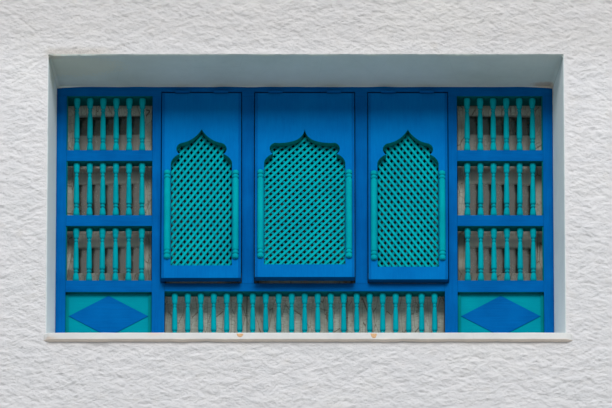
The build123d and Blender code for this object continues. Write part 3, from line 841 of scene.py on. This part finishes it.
def laps(x, z, lean, long, high, seed):
    """Where one drag of the trowel ends on the next: a low step with a crisp edge, from 0 to 1."""
    c, s = math.cos(lean), math.sin(lean)
    u = (x * c + z * s) / long
    v = (z * c - x * s) / high
    t = noise.noise(Vector((u, seed, v))) + 0.22 * noise.noise(Vector((u * 3.1, seed + 2, v * 2.7)))
    t = max(0.0, min(1.0, (t + 0.02) / 0.09))
    return t * t * (3 - 2 * t)


def niche_distance(x, z):
    """How far a place on the face is from the niche's edge."""
    left, right = -HALF_FRAME - SPLAY["left"], HALF_FRAME + SPLAY["right"]
    dx = max(left - x, x - right, 0.0)
    dz = max(SEAT_Z - z, z - FRAME_TOP, 0.0)
    return math.hypot(dx, dz)


def render_height(x, z):
    """How far the render stands out from the wall's plane."""
    broad = noise.noise(Vector((x * 3.1, 1.7, z * 3.4)))
    lumps = noise.noise(Vector((x * 13, 5.2, z * 24))) + 0.5 * noise.noise(Vector((x * 31, 8.8, z * 52)))
    patch = 0.5 + 0.5 * noise.noise(Vector((x * 5, 2.2, z * 5)))
    lines = dabs(x, z, 0.16, 0.050, 0.021, 4.0) * patch
    lines += dabs(x, z, -0.50, 0.065, 0.024, 14.0) * (1 - patch)
    lines += 0.7 * dabs(x, z, 0.55, 0.055, 0.022, 24.0) * max(0.0, noise.noise(Vector((x * 4, 7.7, z * 4))) + 0.2)
    fine = noise.noise(Vector((x * 78, 3.3, z * 130)))
    height = 0.0030 * broad + 0.0020 * lumps + 0.0031 * lines + 0.0010 * fine + 2.0 * stroke_height(x, z)
    height += 0.0016 * laps(x, z, 0.22, 0.110, 0.048, 31.0) + 0.0014 * laps(x, z, -0.45, 0.085, 0.040, 41.0)
    height += 0.0012 * laps(x, z, 0.05, 0.042, 0.022, 51.0) - 0.0024
    edge = niche_distance(x, z)
    crumbly = 1.0 if -1.29 < x < -0.92 and FRAME_TOP < z < FRAME_TOP + 0.045 else 0.0
    if crumbly:
        height += 0.0022 * noise.noise(Vector((x * 150, 6.1, z * 150)))
    calm = min(1.0, max(0.0, (edge - 0.008) / 0.022))
    return height * (0.18 + 0.82 * calm) + 0.0008 * (1 - calm)


def steps(low, high, size):
    """Even steps from low to high, about one size long."""
    count = max(1, round((high - low) / size))
    return [low + (high - low) * index / count for index in range(count + 1)]


GRID = 0.0048
LEFT_EDGE = -HALF_FRAME - SPLAY["left"]
RIGHT_EDGE = HALF_FRAME + SPLAY["right"]
left_xs = steps(-HALF_WALL, LEFT_EDGE, GRID)
right_xs = steps(RIGHT_EDGE, HALF_WALL, GRID)
all_xs = left_xs + steps(LEFT_EDGE, RIGHT_EDGE, GRID)[1:] + right_xs[1:]
depths = steps(0.0, 1.0, 1 / 18)
ARRIS = 0.0035


def skin(name, sections, kinds, materials, slot, *replaced):
    """A closed mesh through like sections, with a material for each strip of it."""
    count = len(sections[0])
    verts = [point for section in sections for point in section]
    faces, strips = [], []
    for row in range(len(sections) - 1):
        start = row * count
        for index in range(count):
            after = (index + 1) % count
            faces.append((start + index, start + after, start + count + after, start + count + index))
            strips.append(kinds[index])
    faces.append(tuple(range(count)))
    faces.append(tuple(range(len(verts) - 1, len(verts) - count - 1, -1)))
    strips += [0, 0]
    mesh = bpy.data.meshes.new(name)
    mesh.from_pydata(verts, [], faces)
    bm = bmesh.new()
    bm.from_mesh(mesh)
    bmesh.ops.recalc_face_normals(bm, faces=bm.faces)
    bm.to_mesh(mesh)
    bm.free()
    mesh.polygons.foreach_set("material_index", strips)
    mesh.polygons.foreach_set("use_smooth", [True] * len(faces))
    mesh.set_sharp_from_angle(angle=math.radians(55))
    for material in materials:
        mesh.materials.append(material)
    piece = bpy.data.objects.new(name, mesh)
    scene.collection.objects.link(piece)
    return keep(piece, slot, *replaced)


def wall_head():
    """The wall over the niche, with its soffit."""
    rows = list(reversed(steps(FRAME_TOP, WALL_HEIGHT, GRID)))
    sections = []
    for x in all_xs:
        inside = LEFT_EDGE + 0.002 < x < RIGHT_EDGE - 0.002
        ease = ARRIS + 0.0012 * noise.noise(Vector((x * 30, 9.4, 1.1))) if inside else 0.0
        section = [(x, FACE_Y - render_height(x, z), z + (ease if z == FRAME_TOP else 0)) for z in rows]
        broken = max(0.0, min(1.0, (-0.90 - x) / 0.06)) * max(0.0, 1 - max(0.0, -1.24 - x) / 0.04)
        sag = 0.0024 * noise.noise(Vector((x * 7, 4.4, 1.1))) + 0.0010 * noise.noise(Vector((x * 45, 2.4, 1.1)))
        sag -= broken * (0.0034 + 0.0022 * noise.noise(Vector((x * 60, 5.1, 2.0))))
        for t in depths:
            y = FACE_Y + ARRIS + (FRAME_Y - FACE_Y - ARRIS) * t
            wave = 0.0012 * noise.noise(Vector((x * 6, y * 6, 3.3)))
            section.append((x, y, FRAME_TOP + ((sag * (1 - t) ** 3 + wave * (1 - t)) if inside else 0)))
        section += [(x, BACK_Y, FRAME_TOP), (x, BACK_Y, WALL_HEIGHT)]
        sections.append(section)
    kinds = [0] * (len(rows) - 1) + [1] * (len(depths) + 1) + [0, 0]
    skin("render_head", sections, kinds, [render_white, reveal_plaster], "render", "wall_head")


def wall_beside(side):
    """The wall on one side of the niche, with its jamb."""
    sign = SIDES[side]
    across = left_xs if side == "left" else list(reversed(right_xs))
    arris = across[-1]
    sections = []
    for z in steps(SEAT_Z, FRAME_TOP, GRID):
        section = [(x - (sign * -ARRIS if x == arris else 0), FACE_Y - render_height(x, z), z) for x in across]
        for t in depths:
            y = FACE_Y + ARRIS + (FRAME_Y - FACE_Y - ARRIS) * t
            straight = sign * (HALF_FRAME + SPLAY[side] * (1 - t))
            wave = 0.0014 * noise.noise(Vector((sign * 5, y * 6, z * 6))) * (1 - t) * math.sin(t * math.pi)
            section.append((straight + wave, y, z))
        section += [(sign * HALF_FRAME, BACK_Y, z), (sign * HALF_WALL, BACK_Y, z)]
        sections.append(section)
    kinds = [0] * (len(across) - 1) + [1] * (len(depths) + 1) + [0, 0]
    skin(f"render_{side}", sections, kinds, [render_white, jamb_plaster_painted_light], "render", f"wall_{side}")


def wall_under():
    """The wall under the sill."""
    rows = steps(0.0, SEAT_Z, GRID)
    sections = []
    for x in all_xs:
        section = [(x, FACE_Y - render_height(x, z), z) for z in rows]
        section += [(x, BACK_Y, SEAT_Z), (x, BACK_Y, 0.0)]
        sections.append(section)
    skin("render_under", sections, [0] * (len(rows) + 2), [render_white], "render", "wall_below")


wall_head()
wall_beside("left")
wall_beside("right")
wall_under()


def wavy_sill():
    """The sill with an uneven nose, chipped along its lower edge."""
    bm = bmesh.new()
    bm.from_mesh(nodes["sill"].data)
    bmesh.ops.remove_doubles(bm, verts=bm.verts, dist=1e-6)
    bmesh.ops.dissolve_limit(bm, angle_limit=math.radians(1.0), verts=bm.verts, edges=bm.edges)
    nose = [edge for edge in bm.edges if all(v.co.y < FACE_Y - 0.015 for v in edge.verts)]
    bmesh.ops.bevel(bm, geom=nose, offset=0.0040, segments=3, profile=0.5, affect="EDGES", clamp_overlap=True)
    for x in steps(-1.31, 1.34, 0.012):
        everything = list(bm.verts) + list(bm.edges) + list(bm.faces)
        bmesh.ops.bisect_plane(bm, geom=everything, plane_co=(x, 0, 0), plane_no=(1, 0, 0))
    for z in (SEAT_Z + 0.0055, SEAT_Z + 0.0075, SEAT_Z + 0.031):
        everything = list(bm.verts) + list(bm.edges) + list(bm.faces)
        bmesh.ops.bisect_plane(bm, geom=everything, plane_co=(0, 0, z), plane_no=(0, 0, 1))
    for vert in bm.verts:
        x, y, z = vert.co
        if y > FACE_Y - 0.001:
            continue
        lower = max(0.0, 1 - (z - SEAT_Z) / 0.012)
        ragged = noise.noise(Vector((x * 9, 1.0, 2.0))) + 0.6 * noise.noise(Vector((x * 34, 1.0, 5.0)))
        vert.co.z += 0.0026 * ragged * lower + 0.0008 * noise.noise(Vector((x * 12, 4.0, z * 20)))
        vert.co.y += 0.0010 * noise.noise(Vector((x * 15, 8.0, z * 60))) + 0.0010 * lower * ragged
        if z < SEAT_Z + 0.0050 and y < FACE_Y - 0.010:
            vert.co.y += 0.0135 * (1 - max(0.0, z - SEAT_Z) / 0.0055)
        if z < SEAT_Z + 0.012:
            vert.co.z -= 0.0028
        if y < FACE_Y - 0.004:
            vert.co.y += 0.012 * max(0.0, 1 - min(x + 1.298, 1.330 - x) / 0.030)
        if x < -1.285:
            vert.co.x += 0.009
        if x > 1.315:
            vert.co.x -= 0.006
    for face in bm.faces:
        face.smooth = True
    bmesh.ops.recalc_face_normals(bm, faces=bm.faces)
    piece = mesh_object("sill_wavy", bm, [sill_plaster])
    piece.data.set_sharp_from_angle(angle=math.radians(50))
    keep(piece, "sill_plaster", "sill")


wavy_sill()


def plaster_bead():
    """The plaster line that overlaps the head's top edge, thickest at its ends."""
    sections = []
    for x in steps(-HALF_FRAME + 0.0005, HALF_FRAME - 0.0005, 0.010):
        end = min(1.0, (HALF_FRAME - abs(x)) / 0.13)
        drop = 0.0035 + 0.0095 * (1 - end) ** 2 + 0.0022 * noise.noise(Vector((x * 9, 2.0, 6.0)))
        deep = 0.0060 + 0.0020 * noise.noise(Vector((x * 14, 3.0, 1.0)))
        top = FRAME_TOP - 0.0004
        sections.append([(x, FRAME_Y - deep, top), (x, FRAME_Y - deep * 0.75, top - drop * 0.6),
                         (x, FRAME_Y - 0.0012, top - drop), (x, FRAME_Y - 0.0002, top - drop), (x, FRAME_Y - 0.0002, top)])
    skin("head_plaster_line", sections, [0] * 5, [reveal_plaster], "render")


def corner_cove(side):
    """The rounded plaster where a jamb meets the soffit."""
    sign = SIDES[side]
    sections = []
    for t in steps(0.02, 0.995, 1 / 24):
        y = FACE_Y + (FRAME_Y - FACE_Y) * t
        corner_x = sign * (HALF_FRAME + SPLAY[side] * (1 - t))
        radius = 0.016 + 0.004 * noise.noise(Vector((sign * 3, y * 20, 2.0)))
        section = [(corner_x + sign * 0.0005, y, FRAME_TOP + 0.0005)]
        for index in range(7):
            angle = math.pi / 2 * index / 6
            section.append((corner_x - sign * radius * (1 - math.sin(angle)), y,
                            FRAME_TOP - radius * (1 - math.cos(angle))))
        sections.append(section)
    skin(f"niche_cove_{side}", sections, [0] * 8, [reveal_plaster], "render")


plaster_bead()
for side in SIDES:
    corner_cove(side)


def clay_chip(name, x, z, wide, tall):
    """A shallow half round scar in the sill's face."""
    bm = bmesh.new()
    rim = []
    for index in range(25):
        angle = math.pi * index / 24
        ragged = 1 + 0.10 * noise.noise(Vector((index * 0.9, x * 10, 1.0)))
        rim.append((math.cos(angle) * wide / 2 * ragged, -math.sin(angle) * tall * ragged))
    outer = [bm.verts.new((x + u, FACE_Y - 0.0192, z + v)) for u, v in rim]
    inner = [bm.verts.new((x + u * 0.7, FACE_Y - 0.0216, z - 0.002 + v * 0.7)) for u, v in rim]
    for index in range(24):
        bm.faces.new((outer[index], outer[index + 1], inner[index + 1], inner[index]))
    bm.faces.new((outer[0], inner[0], inner[-1], outer[-1]))
    bm.faces.new(inner)
    bm.faces.new(list(reversed(outer)))
    bmesh.ops.recalc_face_normals(bm, faces=bm.faces)
    keep(mesh_object(name, bm, [clay]), "sill_plaster")


clay_chip("clay_chip_left", -0.3205, 0.4545, 0.036, 0.022)
clay_chip("clay_chip_right", 0.3425, 0.4550, 0.033, 0.029)


# Floor, light and camera
def floor_material():
    """Pale floor that a camera under it looks through, with its shadow kept."""
    paint = Paint("floor")
    grain = paint.noise(0.4, 4)
    colour = paint.ramp(grain, (0.3, srgb(236, 237, 238)), (0.7, srgb(242, 243, 244)))
    seen = paint.new("ShaderNodeLightPath").outputs["Is Camera Ray"]
    colour = paint.mix(seen, srgb(150, 152, 150), colour)
    paint.finish(colour, 0.9, Specular_IOR_Level=0.1)
    from_below = paint.new("ShaderNodeNewGeometry").outputs["Backfacing"]
    clear = paint.new("ShaderNodeBsdfTransparent")
    blend = paint.new("ShaderNodeMixShader")
    paint.link(paint.math("MULTIPLY", from_below, seen), blend.inputs["Fac"])
    paint.link(paint.shader.outputs["BSDF"], blend.inputs[1])
    paint.link(clear.outputs["BSDF"], blend.inputs[2])
    paint.link(blend.outputs["Shader"], paint.output.inputs["Surface"])
    return paint.material


bm = bmesh.new()
bmesh.ops.create_grid(bm, x_segments=1, y_segments=1, size=14)
floor = mesh_object("floor", bm, [floor_material()])

world = bpy.data.worlds.new("sky")
scene.world = world
world.use_nodes = True
world_tree = world.node_tree
background = world_tree.nodes["Background"]
direction = world_tree.nodes.new("ShaderNodeTexCoord")
split = world_tree.nodes.new("ShaderNodeSeparateXYZ")
world_tree.links.new(direction.outputs["Generated"], split.inputs["Vector"])
sky = world_tree.nodes.new("ShaderNodeValToRGB")
world_tree.links.new(split.outputs["Z"], sky.inputs["Fac"])
sky.color_ramp.elements[0].position = 0.0
sky.color_ramp.elements[0].color = (0.10, 0.11, 0.11, 1.0)
sky.color_ramp.elements[1].position = 0.75
sky.color_ramp.elements[1].color = (0.93, 0.97, 1.0, 1.0)
for position, colour in ((0.28, (0.18, 0.20, 0.21, 1.0)), (0.48, (0.84, 0.90, 0.95, 1.0))):
    element = sky.color_ramp.elements.new(position)
    element.color = colour
world_tree.links.new(sky.outputs["Color"], background.inputs["Color"])
background.inputs["Strength"].default_value = 0.85
white = world_tree.nodes.new("ShaderNodeBackground")
white.inputs["Color"].default_value = (0.95, 0.96, 0.97, 1.0)
path = world_tree.nodes.new("ShaderNodeLightPath")
mirrored = world_tree.nodes.new("ShaderNodeMath")
mirrored.operation = "MAXIMUM"
world_tree.links.new(path.outputs["Is Glossy Ray"], mirrored.inputs[0])
world_tree.links.new(path.outputs["Is Transmission Ray"], mirrored.inputs[1])
plain = world_tree.nodes.new("ShaderNodeMath")
plain.operation = "MAXIMUM"
world_tree.links.new(path.outputs["Is Camera Ray"], plain.inputs[0])
world_tree.links.new(mirrored.outputs["Value"], plain.inputs[1])
choose = world_tree.nodes.new("ShaderNodeMixShader")
world_tree.links.new(plain.outputs["Value"], choose.inputs["Fac"])
world_tree.links.new(background.outputs["Background"], choose.inputs[1])
world_tree.links.new(white.outputs["Background"], choose.inputs[2])
world_tree.links.new(choose.outputs["Shader"], world_tree.nodes["World Output"].inputs["Surface"])


def lamp(name, place, aim, size, power, colour):
    """A soft square area lamp."""
    data = bpy.data.lights.new(name, "AREA")
    data.shape = "SQUARE"
    data.size = size
    data.energy = power
    data.color = colour
    thing = bpy.data.objects.new(name, data)
    thing.location = place
    thing.rotation_euler = (Vector(aim) - Vector(place)).to_track_quat("-Z", "Y").to_euler()
    thing.visible_glossy = False
    scene.collection.objects.link(thing)


lamp("overcast", (1.0, -16.2, 13.0), (0, 0, 1.3), 9.0, 3050, (1.0, 0.995, 0.985))

camera_data = bpy.data.cameras.new("camera")
camera_data.lens = VIEW_LENS
camera_data.clip_end = 500
camera = bpy.data.objects.new("camera", camera_data)
rise = math.radians(VIEW_RISE)
look = Vector((0, math.cos(rise), math.sin(rise)))
camera.location = VIEW_TARGET - look * VIEW_FAR
camera.rotation_euler = look.to_track_quat("-Z", "Y").to_euler()
scene.collection.objects.link(camera)
scene.camera = camera
scene.view_settings.view_transform = "Standard"
